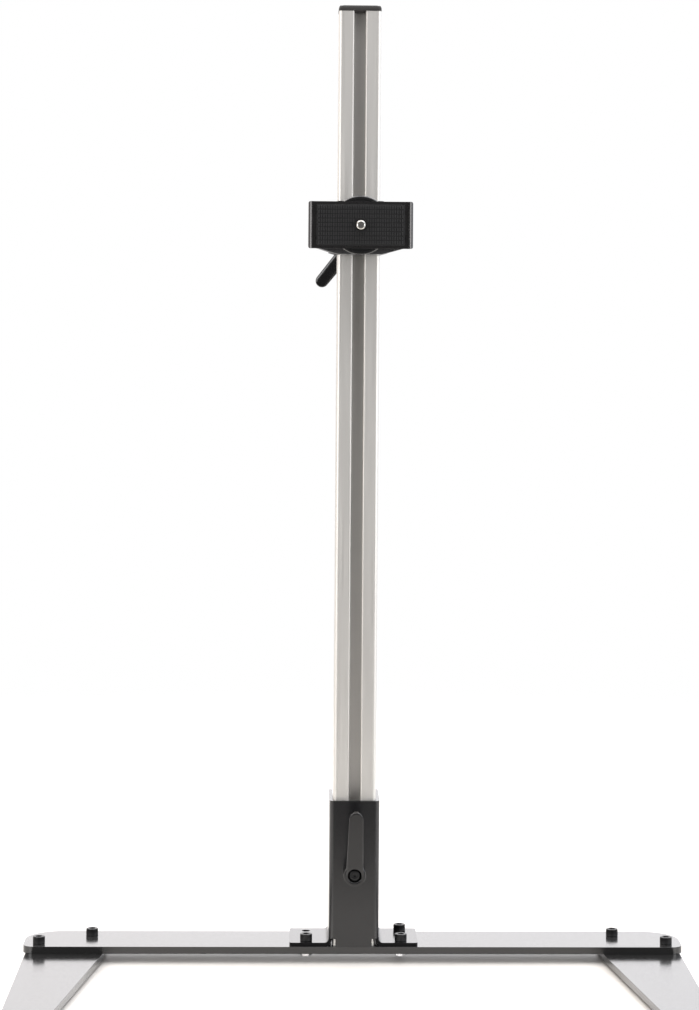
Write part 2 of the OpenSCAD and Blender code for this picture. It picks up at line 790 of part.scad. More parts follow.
// The plate screws' places, with y = 0 on the back of the camera plate
module at_plate_screws() {
    for (x = [-plate_screw_x, plate_screw_x], z = [-plate_screw_gap / 2, plate_screw_gap / 2])
        translate([x, plate_back, camera_z + z]) children();
}

module glide_strips() {
    depth = sleeve_gap - run_gap;
    height = body_top - body_bottom - 2 * glide_end;
    front_x = (slot_w / 2 + slot_chamfer + col_w / 2 - glide_front_w) / 2;
    color("#e8e6df") translate([0, 0, body_bottom + glide_end]) both_sides() {
        translate([col_w / 2 + run_gap, col_mid - glide_side_w / 2, 0])
            cube([depth, glide_side_w, height]);
        translate([front_x, col_front - sleeve_gap, 0]) cube([glide_front_w, depth, height]);
    }
}

module clamp_shoe() {
    color("#c8a24a") translate([0, 0, carriage_lever_z])
        bar_along_y(shoe_r, col_back + run_gap, shoe_back);
}

// A countersunk screw along Y whose flat head lies on the plate's front
module countersunk(gap) {
    r = plate_screw_d / 2 + gap;
    head_r = plate_screw_head_d / 2 + gap;
    translate([0, -plate_t, 0]) rotate([-90, 0, 0]) cylinder(r1 = head_r, r2 = r, h = plate_screw_head_h);
}

// The plate: two side lips that stand forward, and rounded corners
module camera_plate() {
    half = plate_w / 2;
    lip_front = plate_front - lip_h;
    color(BLACK_PAINT) difference() {
        intersection() {
            translate([0, 0, camera_z - plate_h / 2]) linear_extrude(plate_h) polygon([
                [-half, plate_back], [half, plate_back], [half, lip_front], [half - lip_w, lip_front],
                [half - lip_w, plate_front], [lip_w - half, plate_front], [lip_w - half, lip_front],
                [-half, lip_front]
            ]);
            translate([0, 0, camera_z - plate_h / 2]) upright(lip_front - CUT, plate_back + CUT)
                rounded_plan(plate_w, plate_h, plate_r, plate_r);
        }
        translate([0, 0, camera_z])
            bar_along_y(camera_screw_d / 2 + turn_gap, plate_front - CUT, plate_back + CUT);
        at_plate_screws() {
            countersunk(thread_gap);
            bar_along_y(plate_screw_d / 2 + thread_gap, -plate_t, CUT);
        }
    }
}

module plate_screws() {
    color(BLACK_SCREW) at_plate_screws() difference() {
        union() {
            countersunk(0);
            bar_along_y(plate_screw_d / 2, -plate_t, plate_screw_in);
        }
        translate([0, -plate_t - CUT, 0]) rotate([-90, 0, 0])
            cylinder(d = plate_key / cos(30), h = plate_key_h + CUT, $fn = 6);
    }
}

module plate_rubber() {
    color(RUBBER) difference() {
        translate([0, 0, camera_z - rubber_h / 2]) upright(rubber_front, plate_front)
            rounded_plan(rubber_w, rubber_h, rubber_r, rubber_r);
        translate([0, 0, camera_z])
            bar_along_y(camera_screw_d / 2 + rubber_hole_gap, rubber_front - CUT, plate_front + CUT);
    }
}

// The camera screw: a chamfered tip in front, and a flange let into the thumbwheel's back
module camera_screw() {
    r = camera_screw_d / 2;
    tip = rubber_front - camera_screw_out;
    color("#dcdcda") translate([0, 0, camera_z]) {
        bar_along_y(r, tip + camera_screw_chamfer, rubber_front);
        bar_along_y(camera_shank_d / 2, rubber_front - LAP, wheel_back);
        translate([0, tip, 0]) rotate([-90, 0, 0])
            cylinder(r1 = r - camera_screw_chamfer, r2 = r, h = camera_screw_chamfer);
        bar_along_y(2 * r, wheel_back - flange_t, wheel_back);
    }
}

module thumbwheel() {
    r = wheel_d / 2;
    color(BLACK_PLASTIC) translate([0, 0, camera_z]) difference() {
        translate([0, wheel_back, 0]) rotate([90, 0, 0]) rotate_extrude() polygon([
            [0, 0], [r - wheel_chamfer, 0], [r, wheel_chamfer], [r, wheel_t - wheel_chamfer],
            [r - wheel_chamfer, wheel_t], [0, wheel_t]
        ]);
        bar_along_y(camera_shank_d / 2 + thread_gap, wheel_front - CUT, wheel_back + CUT);
        bar_along_y(camera_screw_d + thread_gap, wheel_back - flange_t, wheel_back + CUT);
    }
}

module wheel_washer() {
    color("#e8e6df") translate([0, 0, camera_z]) difference() {
        bar_along_y(washer_r, plate_back, plate_back + washer_t);
        bar_along_y(camera_screw_d / 2 + turn_gap, plate_back - CUT, plate_back + washer_t + CUT);
    }
}

crossbar();
left_leg();
right_leg();
leg_screws();
foot_pads();
column_bracket();
bracket_screws();
bracket_nuts();
slot_nut();
column_lever_stud();
column_lever_handle();
column_lever_spring();
column_lever_screw();
column();
top_cap();
carriage_body();
glide_strips();
clamp_shoe();
carriage_lever_stud();
carriage_lever_handle();
carriage_lever_spring();
carriage_lever_screw();
camera_plate();
plate_screws();
plate_rubber();
camera_screw();
thumbwheel();
wheel_washer();
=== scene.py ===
# %% [markdown]
# # A camera copy stand
#
# A copy stand holds a camera still in front of a page. This one has two flat legs and a flat
# crossbar with a smooth black coat, a folded steel bracket, a slotted aluminium column, and
# a cast carriage that slides on the column and carries a rubber-faced camera plate.
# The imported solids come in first. They fix every size and every joint, so each piece made
# here only has to give its own solid a finer surface and the right finish.

# %% Load the frame
import json
import math

import bmesh
import bpy
from mathutils import Matrix, Vector


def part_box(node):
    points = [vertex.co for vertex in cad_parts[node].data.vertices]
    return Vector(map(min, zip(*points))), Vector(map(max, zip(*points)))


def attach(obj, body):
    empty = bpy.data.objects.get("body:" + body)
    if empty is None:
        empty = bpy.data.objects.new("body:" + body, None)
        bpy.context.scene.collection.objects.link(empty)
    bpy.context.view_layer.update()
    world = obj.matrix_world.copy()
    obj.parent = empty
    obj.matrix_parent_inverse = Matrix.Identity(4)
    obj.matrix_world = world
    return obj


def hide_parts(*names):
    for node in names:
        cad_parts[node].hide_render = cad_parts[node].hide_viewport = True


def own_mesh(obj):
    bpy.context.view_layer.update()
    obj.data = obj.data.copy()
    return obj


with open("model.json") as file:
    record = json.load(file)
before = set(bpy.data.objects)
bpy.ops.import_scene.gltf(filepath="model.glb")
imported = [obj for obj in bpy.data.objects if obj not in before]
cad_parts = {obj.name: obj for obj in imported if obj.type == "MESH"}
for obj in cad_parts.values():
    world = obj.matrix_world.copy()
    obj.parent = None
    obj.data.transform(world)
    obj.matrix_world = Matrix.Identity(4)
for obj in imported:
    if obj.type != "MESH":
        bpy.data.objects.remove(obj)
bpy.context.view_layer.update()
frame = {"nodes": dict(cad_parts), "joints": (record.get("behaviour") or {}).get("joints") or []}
MM = 0.001
joints = {joint["name"]: joint for joint in frame["joints"]}
print("solids:", len(frame["nodes"]), "joints:", sorted(joints))

# %% [markdown]
# ## The camera
#
# The photograph looks level at the stand from about two metres, with the lens shifted, so
# the column's edges stay upright and parallel. The place, the angles and the focal length
# come from fitting the stand's own corners and screws, and the shift is what that fit needs.

# %% Place the camera
IMAGE_H = 1010
FOCAL_PX = 2848.4
CENTRE_OFF_PX = (26.67, -219.05)
EYE = Vector((-42.13, -1903.28, 472.58)) * MM
YAW, PITCH, ROLL = -0.0272, 0.0027, 0.0073

forward = Vector((-math.sin(YAW), math.cos(YAW), 0))
right = Vector((math.cos(YAW), math.sin(YAW), 0))
ahead = forward * math.cos(PITCH) + Vector((0, 0, math.sin(PITCH)))
above = -forward * math.sin(PITCH) + Vector((0, 0, math.cos(PITCH)))
side = right * math.cos(ROLL) + above * math.sin(ROLL)
top = -right * math.sin(ROLL) + above * math.cos(ROLL)

lens = bpy.data.cameras.new("camera")
lens.sensor_width = 36
lens.lens = FOCAL_PX / IMAGE_H * lens.sensor_width
lens.shift_x = -CENTRE_OFF_PX[0] / IMAGE_H
lens.shift_y = CENTRE_OFF_PX[1] / IMAGE_H
lens.clip_start, lens.clip_end = 0.05, 50
camera = bpy.data.objects.new("camera", lens)
camera.matrix_world = Matrix.Translation(EYE) @ Matrix((side, top, -ahead)).transposed().to_4x4()
bpy.context.scene.collection.objects.link(camera)
bpy.context.scene.camera = camera
print("lens mm:", round(lens.lens, 1), "shift:", round(lens.shift_x, 4), round(lens.shift_y, 4))

# %% [markdown]
# ## Colours and nodes
#
# Colours are written as the sRGB hex values that the eye knows, and turned to the linear
# values that the renderer wants in one place. One short function adds any node, with its
# settings and its links, so each finish below reads as a list of what it is made of.

# %% Two small helpers
def linear(hex_colour):
    """The linear red, green, blue and alpha of an sRGB hex colour."""
    parts = [int(hex_colour[i : i + 2], 16) / 255 for i in (1, 3, 5)]
    return [c / 12.92 if c <= 0.04045 else ((c + 0.055) / 1.055) ** 2.4 for c in parts] + [1]


def add(tree, kind, inputs=None, **settings):
    """A new node, whose inputs are values or the outputs that they are linked to."""
    node = tree.nodes.new(kind)
    for name, value in settings.items():
        setattr(node, name, value)
    for name, value in (inputs or {}).items():
        if isinstance(value, bpy.types.NodeSocket):
            tree.links.new(value, node.inputs[name])
        else:
            node.inputs[name].default_value = value
    return node


print("mid grey is", round(linear("#808080")[0], 3), "in linear light")

# %% [markdown]
# ## The studio
#
# The stand is photographed on a white sweep, in a room that is dark behind the camera. The
# white behind it is overexposed: the flat black bars look nearly white in the photo only
# because they mirror that background at a low angle, while their front faces mirror the
# dimmer floor in front and stay dark. So the world's brightness changes with direction:
# dim in front, even at both sides, brightest low behind the stand, and strong high up, where
# it lights the floor. It is slightly warm at the left and cool at the right. The camera
# itself sees plain white at strength 1.

# %% World
# how bright each direction is: 1 is the white that the camera sees
FRONT, LEFT_SIDE, RIGHT_SIDE, HORIZON, BEHIND = 0.17, 1.15, 1.6, 0.8, 3.1
BEHIND_HIGH, OVERHEAD, ZENITH = 0.35, 3.5, 1.1

world = bpy.data.worlds.new("studio")
bpy.context.scene.world = world
world.use_nodes = True
sky = world.node_tree
sky.nodes.clear()
way = add(sky, "ShaderNodeTexCoord").outputs["Generated"]
along = add(sky, "ShaderNodeSeparateXYZ", {"Vector": way})
rise = add(sky, "ShaderNodeMapRange", {
    "Value": along.outputs["Z"], "From Min": 0.0, "From Max": 0.3,
    "To Min": HORIZON, "To Max": BEHIND,
})
fall = add(sky, "ShaderNodeMapRange", {
    "Value": along.outputs["Z"], "From Min": 0.34, "From Max": 0.55,
    "To Min": 1.0, "To Max": BEHIND_HIGH,
}, interpolation_type="SMOOTHSTEP")
band = add(sky, "ShaderNodeMath", {0: rise.outputs[0], 1: fall.outputs[0]}, operation="MULTIPLY")
sides = add(sky, "ShaderNodeMapRange", {
    "Value": along.outputs["X"], "From Min": -0.6, "From Max": 0.6,
    "To Min": LEFT_SIDE, "To Max": RIGHT_SIDE,
}, interpolation_type="SMOOTHSTEP")
around = add(sky, "ShaderNodeMapRange", {
    "Value": along.outputs["Y"], "From Min": 0.1, "From Max": 0.6,
    "To Min": sides.outputs[0], "To Max": band.outputs[0],
}, interpolation_type="SMOOTHSTEP")
sweep = add(sky, "ShaderNodeMapRange", {
    "Value": along.outputs["Y"], "From Min": -0.85, "From Max": -0.2,
    "To Min": FRONT, "To Max": around.outputs[0],
}, interpolation_type="SMOOTHSTEP")
zenith = add(sky, "ShaderNodeMapRange", {
    "Value": along.outputs["Z"], "From Min": 0.82, "From Max": 0.97,
    "To Min": OVERHEAD, "To Max": ZENITH,
}, interpolation_type="SMOOTHSTEP")
overhead = add(sky, "ShaderNodeMapRange", {
    "Value": along.outputs["Z"], "From Min": 0.5, "From Max": 0.85,
    "To Min": 0.0, "To Max": zenith.outputs[0],
}, interpolation_type="SMOOTHSTEP")
glow = add(sky, "ShaderNodeMath", {0: sweep.outputs["Result"], 1: overhead.outputs["Result"]})
aside = add(sky, "ShaderNodeMapRange", {
    "Value": along.outputs["X"], "From Min": -0.9, "From Max": 0.9,
})
tint = add(sky, "ShaderNodeMix", {
    0: aside.outputs[0], 6: linear("#fff8f4"), 7: linear("#f6f9ff"),
}, data_type="RGBA")
lit = add(sky, "ShaderNodeBackground", {"Color": tint.outputs[2], "Strength": glow.outputs[0]})
seen = add(sky, "ShaderNodeBackground", {"Color": linear("#ffffff"), "Strength": 1.0})
light_path = add(sky, "ShaderNodeLightPath")
both = add(sky, "ShaderNodeMixShader", {
    "Fac": light_path.outputs["Is Camera Ray"], 1: lit.outputs[0], 2: seen.outputs[0],
})
add(sky, "ShaderNodeOutputWorld", {"Surface": both.outputs[0]})
print("world nodes:", len(sky.nodes))

# %% [markdown]
# ### The lamps
#
# One soft lamp stands in front at each side, about level with the carriage. They light the
# column's flat faces and leave its slot dark, and they reach in right under the carriage,
# so its shadow there is short. The left one is a little stronger, as in the photo.

# %% Lamps
LAMP_SIDE, LAMP_SIZE = Vector((0.98, -0.81, 0.54)), 0.65
LAMP_AIM = Vector((0, 0.1, 0.42))


def soft_lamp(name, side, watts):
    """A square lamp at the left (side is -1) or the right (side is 1) of the camera."""
    data = bpy.data.lights.new(name, "AREA")
    data.shape, data.size, data.energy = "SQUARE", LAMP_SIZE, watts
    lamp = bpy.data.objects.new(name, data)
    lamp.location = (side * LAMP_SIDE.x, LAMP_SIDE.y, LAMP_SIDE.z)
    lamp.rotation_euler = (LAMP_AIM - lamp.location).to_track_quat("-Z", "Y").to_euler()
    bpy.context.scene.collection.objects.link(lamp)
    return lamp


for lamp in (soft_lamp("left_lamp", -1, 8.9), soft_lamp("right_lamp", 1, 7.6)):
    print(lamp.name, lamp.data.energy, "W")

# %% [markdown]
# ### The floor
#
# The floor is a pale disc that takes the shadow under the crossbar and the legs. It fades
# out to the white surroundings at its edge, and also towards the camera, where the real
# floor gets darker in the black parts' mirror.

# %% Floor
FLOOR_R, FLOOR_POINTS = 1.6, 64
EDGE_FADE, FRONT_FADE, FRONT_GONE = (0.7, 1.5), (-0.03, -0.5), 0.97

turns = [math.tau * i / FLOOR_POINTS for i in range(FLOOR_POINTS)]
floor_mesh = bpy.data.meshes.new("floor")
floor_mesh.from_pydata(
    [(FLOOR_R * math.cos(a), FLOOR_R * math.sin(a), 0) for a in turns],
    [], [list(range(FLOOR_POINTS))],
)
floor = bpy.data.objects.new("floor", floor_mesh)
bpy.context.scene.collection.objects.link(floor)

paper = bpy.data.materials.new("white_sweep")
paper.use_nodes = True
tree = paper.node_tree
tree.nodes.clear()
place = add(tree, "ShaderNodeTexCoord").outputs["Object"]
reach = add(tree, "ShaderNodeVectorMath", {0: place}, operation="LENGTH").outputs["Value"]
edge_fade = add(tree, "ShaderNodeMapRange", {
    "Value": reach, "From Min": EDGE_FADE[0], "From Max": EDGE_FADE[1],
    "To Min": 0.0, "To Max": 1.0,
}, interpolation_type="SMOOTHSTEP")
depth = add(tree, "ShaderNodeSeparateXYZ", {"Vector": place}).outputs["Y"]
front_fade = add(tree, "ShaderNodeMapRange", {
    "Value": depth, "From Min": FRONT_FADE[0], "From Max": FRONT_FADE[1],
    "To Min": 0.0, "To Max": FRONT_GONE,
}, interpolation_type="SMOOTHSTEP")
fade = add(tree, "ShaderNodeMath", {
    0: edge_fade.outputs["Result"], 1: front_fade.outputs["Result"],
}, operation="MAXIMUM")
sheet = add(tree, "ShaderNodeBsdfPrincipled", {
    "Base Color": linear("#cfccc7"), "Roughness": 0.27, "Specular IOR Level": 0.19,
})
gone = add(tree, "ShaderNodeBsdfTransparent")
mixed = add(tree, "ShaderNodeMixShader", {
    "Fac": fade.outputs[0], 1: sheet.outputs[0], 2: gone.outputs[0],
})
add(tree, "ShaderNodeOutputMaterial", {"Surface": mixed.outputs[0]})
floor_mesh.materials.append(paper)
print("floor radius:", FLOOR_R, "m")

# %% [markdown]
# ## Finishes
#
# Every finish is one shader with a fine pattern worked out from a real size. A pattern's
# scale is 1000 divided by its size in millimetres, because objects are measured in metres.
# Some grains are finer than a pixel of the picture, and are drawn coarser so that they show.

# %% One function for every finish
def finish(name, colour, metallic, rough, size_mm, height_mm, **extra):
    """A shader whose relief and gloss follow noise with cells of size_mm along X, Y and Z."""
    material = bpy.data.materials.new(name)
    material.use_nodes = True
    tree = material.node_tree
    tree.nodes.clear()
    coords = add(tree, "ShaderNodeTexCoord")
    scaled = add(tree, "ShaderNodeMapping", {
        "Vector": coords.outputs["Object"], "Scale": [1000 / s for s in size_mm],
    })
    noise = add(tree, "ShaderNodeTexNoise", {
        "Vector": scaled.outputs[0], "Scale": 1.0, "Detail": 2.0,
    })
    bump = add(tree, "ShaderNodeBump", {
        "Height": noise.outputs["Fac"], "Distance": height_mm * MM, "Strength": 1.0,
    })
    gloss = add(tree, "ShaderNodeMapRange", {
        "Value": noise.outputs["Fac"], "From Min": 0.3, "From Max": 0.7,
        "To Min": rough[0], "To Max": rough[1],
    })
    shader = add(tree, "ShaderNodeBsdfPrincipled", {
        "Base Color": linear(colour), "Metallic": metallic, "Roughness": gloss.outputs["Result"],
        "Normal": bump.outputs[0], **extra,
    })
    add(tree, "ShaderNodeOutputMaterial", {"Surface": shader.outputs[0]})
    return material


# %% [markdown]
# ### Metals
#
# The column is extruded aluminium, etched and anodised. The nuts, studs and springs are
# zinc plated steel, the cap screws are black oxide, and the camera screw is nickel plated.

# %% Metal finishes
# matt and slightly warm, with faint die lines that run the column's whole length
extruded = finish("etched_anodised_extrusion", "#cfcdc9", 1.0, (0.46, 0.56), (0.9, 0.9, 120),
                  0.006)
# nearly black, but its rims and sockets still catch a soft metal light
oxide = finish("black_oxide_steel", "#1b1b1c", 0.6, (0.3, 0.42), (0.5, 0.5, 0.5), 0.003)
# bright and a little cool, which makes small bright bars of the nuts under the crossbar
zinc = finish("zinc_plated_steel", "#e9eaec", 1.0, (0.2, 0.3), (0.8, 0.8, 0.8), 0.003)
# a bright ring where the screw's chamfer turns to the light, round a dim flat end
nickel = finish("nickel_plated_screw", "#b8b6b1", 1.0, (0.16, 0.26), (0.6, 0.6, 0.6), 0.002)
# a yellow metal that shows only when the carriage is off the column
brass = finish("turned_brass", "#c8a250", 1.0, (0.25, 0.38), (0.4, 4, 0.4), 0.003)
# a dark metal sheen, so that the plate's rounded lips pick up the lamps at both sides
plate_coat = finish("black_anodised_plate", "#4d4c4c", 1.0, (0.26, 0.34), (0.9, 0.9, 0.9), 0.004)

# %% [markdown]
# ### Coats, plastics and rubber
#
# All the black parts differ in gloss more than in colour. The bars have the smoothest coat,
# the bracket a fine powder coat, the levers a glossy enamel and the carriage a duller one.

# %% Coats and plastics
# smooth black satin: a mirror at a low angle, black from above
bar_coat = finish("black_satin_coated_bar", "#1c1c1c", 0.0, (0.13, 0.19), (1.6, 1.6, 1.6), 0.002,
                  **{"Specular IOR Level": 0.68})
# a fine even orange peel, whose shade follows the floor that it mirrors
powder = finish("black_powder_coat", "#141415", 0.0, (0.16, 0.24), (0.9, 0.9, 0.9), 0.004,
                **{"Specular IOR Level": 0.57})
# the sheet's cut edges at the flanges' fronts, made duller and blacker than the coat as painted
# shade: the dark line along them
cut_edge_shade = finish("black_cut_edge_of_the_sheet", "#070708", 0.0, (0.6, 0.75), (0.6, 0.6, 0.6),
                  0.006, **{"Specular IOR Level": 0.15})
# duller and a little greyer, over the faint roughness of a casting
cast_coat = finish("black_coated_casting", "#3e3e3f", 0.0, (0.25, 0.35), (0.9, 0.9, 0.9), 0.015)
# deep black with a clear light line wherever an edge is round
lever_coat = finish("glossy_black_lever_enamel", "#0b0b0c", 0.0, (0.13, 0.19), (1.5, 1.5, 1.5),
                    0.004)
# the blackest part, with a polished rim that draws a thin bright line
moulded_black = finish("moulded_black_nylon", "#060607", 0.0, (0.2, 0.28), (0.5, 0.5, 0.5), 0.003,
                       **{"Specular IOR Level": 0.9})
# plain dark grey with almost no shine
moulded_grey = finish("moulded_dark_grey_cap", "#323130", 0.0, (0.4, 0.5), (0.5, 0.5, 0.5), 0.01,
                      **{"Specular IOR Level": 0.2})
# dull; the studs' faces are lighter than the slab, whose deeper black between them is painted
# shade
rubber = finish("black_rubber", "#151516", 0.0, (0.62, 0.8), (0.4, 0.4, 0.4), 0.02)
# painted shade: the slab between the studs is a deeper black than the studs' own rubber
groove_shade_rubber = finish("black_rubber_in_the_grooves", "#060607", 0.0, (0.75, 0.85),
                       (0.4, 0.4, 0.4), 0.02)
# smooth, warm white and slightly waxy
acetal = finish("white_acetal", "#e8e6df", 0.0, (0.3, 0.42), (0.6, 0.6, 0.6), 0.005)
print("finishes:", len(bpy.data.materials))

# %% [markdown]
# ## Pieces that keep their solid's shape
#
# A machined, folded or moulded edge is never perfectly sharp, and the thin bright line
# along it is much of what makes a metal part look real. The easiest way is a bevel on a
# welded copy of the solid, just as wide as the real edge's break.

# %% Copy a solid
def new_object(name, mesh):
    made = bpy.data.objects.new(name, mesh)
    bpy.context.scene.collection.objects.link(made)
    return made


# points closer than this are one point, and faces that turn less than this are one face
WELD, FLAT_WITHIN = 0.003 * MM, math.radians(0.4)


def plain(made):
    """Applies every modifier and leaves a plain mesh."""
    bpy.context.view_layer.update()
    ready = made.evaluated_get(bpy.context.evaluated_depsgraph_get())
    mesh = bpy.data.meshes.new_from_object(ready)
    if made.type != "MESH":
        name = made.name
        bpy.data.objects.remove(made)
        return new_object(name, mesh)
    made.modifiers.clear()
    made.data = mesh
    return made


def welded(node, name):
    """A copy of a solid with its triangles merged to whole faces again."""
    work = bmesh.new()
    work.from_mesh(frame["nodes"][node].data)
    bmesh.ops.remove_doubles(work, verts=work.verts, dist=WELD)
    bmesh.ops.dissolve_limit(
        work, angle_limit=FLAT_WITHIN, verts=work.verts, edges=work.edges,
        use_dissolve_boundaries=False,
    )
    bmesh.ops.recalc_face_normals(work, faces=work.faces)
    for edge in work.edges:
        edge.smooth = True
    mesh = bpy.data.meshes.new(name)
    work.to_mesh(mesh)
    work.free()
    for layer in ("custom_normal", "sharp_face", "sharp_edge"):
        if layer in mesh.attributes:
            mesh.attributes.remove(mesh.attributes[layer])
    mesh.shade_smooth()
    return new_object(name, mesh)


def dress(made, material, body, slot, *nodes):
    """Gives a finished piece its finish, its body and the solids that it stands for; slot is not
    used.
    """
    made.data.materials.clear()
    made.data.materials.append(material)
    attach(made, body)
    if nodes:
        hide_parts(*nodes)
    print(made.name, "faces:", len(made.data.polygons))
    return made


print("welding points closer than", WELD / MM, "mm")

# %% [markdown]
# ### Lips that curve
#
# The camera plate's two lips curve back over almost 3 mm. A bevel can't be wide on one edge
# and narrow beside it. So the lips are cut into strips first, finer where they turn faster,
# and the points are moved on to a quarter round.

# %% The plate's lips
# points as near as BACK_FACE to the plate's back stay where they are
LIP_ROUND, LIP_STRIPS, BACK_FACE = 2.9, 8, 0.1


def cut(work, place, normal):
    """Cuts a body's faces along a plane, and keeps both sides."""
    everything = work.verts[:] + work.edges[:] + work.faces[:]
    bmesh.ops.bisect_plane(work, geom=everything, plane_co=place, plane_no=normal)


def rounded_lips(made):
    """Turns the outer side of the plate's two lips back in a quarter round."""
    work = bmesh.new()
    work.from_mesh(made.data)
    end, back = max(vert.co.x for vert in work.verts), max(vert.co.y for vert in work.verts)
    front, radius = min(vert.co.y for vert in work.verts), LIP_ROUND * MM
    start = end - radius
    for i in range(LIP_STRIPS):
        x = start + radius * math.sin(math.pi / 2 * i / LIP_STRIPS)
        cut(work, (-x, 0, 0), (-1, 0, 0))
        cut(work, (x, 0, 0), (1, 0, 0))
    for vert in work.verts:
        past = min(max(abs(vert.co.x) - start, 0), radius)
        if vert.co.y < back - BACK_FACE * MM:
            curve = front + radius - math.sqrt(radius ** 2 - past ** 2)
            vert.co.y = max(vert.co.y, curve)
    work.to_mesh(made.data)
    work.free()


print("lip radius:", LIP_ROUND, "mm in", LIP_STRIPS, "strips")

# %% [markdown]
# ### A cap that slopes
#
# The cap is moulded with sides that lean in to its top, and a tab that holds it in the
# column's slot. The sides are cut into strips and bent like the lips. The tab is set back
# in the shade, where the photo shows little of it.

# %% The cap's tab and slope
CAP_H, CAP_INSET, CAP_RISE, CAP_STRIPS = 3.8, 1.5, 3.2, 6
# points more than UNDER_CAP lower than the cap belong to its tab and its plug
TAB_H, TAB_BACK, TAB_DEPTH, UNDER_CAP = 1.2, 2.0, 9.0, 0.2


def short_tab(made):
    """Shortens the cap's tab in the column's slot, where the photo shows only some shade."""
    top = max(vert.co.z for vert in made.data.vertices)
    plug = [vert for vert in made.data.vertices if vert.co.z < top - (CAP_H + UNDER_CAP) * MM]
    front = min(vert.co.y for vert in plug)
    for vert in plug:
        if vert.co.y < front + TAB_DEPTH * MM:
            vert.co.z = max(vert.co.z, top - (CAP_H + TAB_H) * MM)
            vert.co.y = max(vert.co.y, front + TAB_BACK * MM)


def sloped_cap(made):
    """Leans the cap's sides in towards its top, like a quarter of an ellipse."""
    middle = sum(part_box("top_cap"), Vector()) / 2
    half = (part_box("top_cap")[1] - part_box("top_cap")[0]).x / 2
    work = bmesh.new()
    work.from_mesh(made.data)
    rise = CAP_RISE * MM
    start = max(vert.co.z for vert in work.verts) - rise
    for i in range(CAP_STRIPS):
        cut(work, (0, 0, start + rise * math.sin(math.pi / 2 * i / CAP_STRIPS)), (0, 0, 1))
    for vert in work.verts:
        part = min(max((vert.co.z - start) / rise, 0), 1)
        size = 1 - CAP_INSET * MM / half * (1 - math.sqrt(1 - part ** 2))
        vert.co.x = middle.x + (vert.co.x - middle.x) * size
        vert.co.y = middle.y + (vert.co.y - middle.y) * size
    work.to_mesh(made.data)
    work.free()


RESHAPED = {"camera_plate": [rounded_lips], "top_cap": [short_tab, sloped_cap]}
print("reshaped:", sorted(RESHAPED))

# %% [markdown]
# ### The sixteen kept pieces
#
# Bars are broken by half a millimetre, folded and moulded pieces by less, and the casting
# by a whole one. The cut edges of the bracket's flanges face the camera, and a duller,
# blacker finish on them is painted shade: the dark line along them.

# %% Break the edges
BEVEL_STEPS, BEVEL_FROM = 3, math.radians(30)


def broken_edges(node, edge_mm):
    made = welded(node, node + ".shown")
    for reshape in RESHAPED.get(node, []):
        reshape(made)
    bevel = made.modifiers.new("edge", "BEVEL")
    bevel.width, bevel.segments = edge_mm * MM, BEVEL_STEPS
    bevel.limit_method, bevel.angle_limit = "ANGLE", BEVEL_FROM
    bevel.harden_normals = True
    bevel.use_clamp_overlap = True
    return plain(made)


print("bevel steps:", BEVEL_STEPS)

# %% Dress the pieces
# which of the bracket's faces take the painted shade of the cut edges
SHADED_EDGE_FACING, SHADED_EDGE_BEHIND = -0.8, 1.0
# node, edge break in mm, finish, body, slot
KEPT = [
    ("crossbar", 0.5, bar_coat, "base", "bar_coated"),
    ("left_leg", 0.5, bar_coat, "base", "bar_coated"),
    ("right_leg", 0.5, bar_coat, "base", "bar_coated"),
    ("foot_pads", 0.4, rubber, "base", "pad_rubber"),
    ("column_bracket", 0.3, powder, "base", "black_sheet"),
    ("slot_nut", 0.2, zinc, "base", "plated_steel"),
    ("column", 0.2, extruded, "column", "column_aluminium"),
    ("top_cap", 0.3, moulded_grey, "column", "cap_plastic"),
    ("carriage_body", 1.0, cast_coat, "carriage", "black_casting"),
    ("glide_strips", 0.1, acetal, "carriage", "glide_plastic"),
    ("clamp_shoe", 0.3, brass, "carriage", "shoe_brass"),
    ("camera_plate", 0.15, plate_coat, "carriage", "black_sheet"),
    ("plate_screws", 0.1, oxide, "carriage", "black_screw"),
    ("wheel_washer", 0.1, acetal, "carriage", "glide_plastic"),
    ("column_lever_stud", 0.1, zinc, "column_lever", "plated_steel"),
    ("carriage_lever_stud", 0.1, zinc, "carriage_lever", "plated_steel"),
]
for node, edge, material, body, slot in KEPT:
    made = dress(broken_edges(node, edge), material, body, slot, node)
    if node == "column_bracket":
        front = min(vert.co.y for vert in made.data.vertices)
        made.data.materials.append(cut_edge_shade)
        # the flanges' front edges face forward and lie behind the front wall; their darker finish
        # is painted shade
        for face in made.data.polygons:
            if face.normal.y < SHADED_EDGE_FACING and face.center.y > front + SHADED_EDGE_BEHIND * MM:
                face.material_index = 1

# %% [markdown]
# ## Turned and moulded pieces with a rule
#
# A screw's head, a nut, a knurled wheel and a thread are all rings of points joined up.
# One function that joins rings, and one that makes a ring from a radius that may change
# with the angle, cover all of them: a hexagon and a knurl are only other radius rules.

# %% Rings joined to a closed skin
SHARP_FROM = math.radians(35)


def ring(radius, height, count=48):
    """Points round the axis at a height in mm; radius is a number or a rule of the angle."""
    points = []
    for i in range(count):
        angle = math.tau * i / count
        r = radius(angle) if callable(radius) else radius
        points.append((r * math.cos(angle) * MM, r * math.sin(angle) * MM, height * MM))
    return points


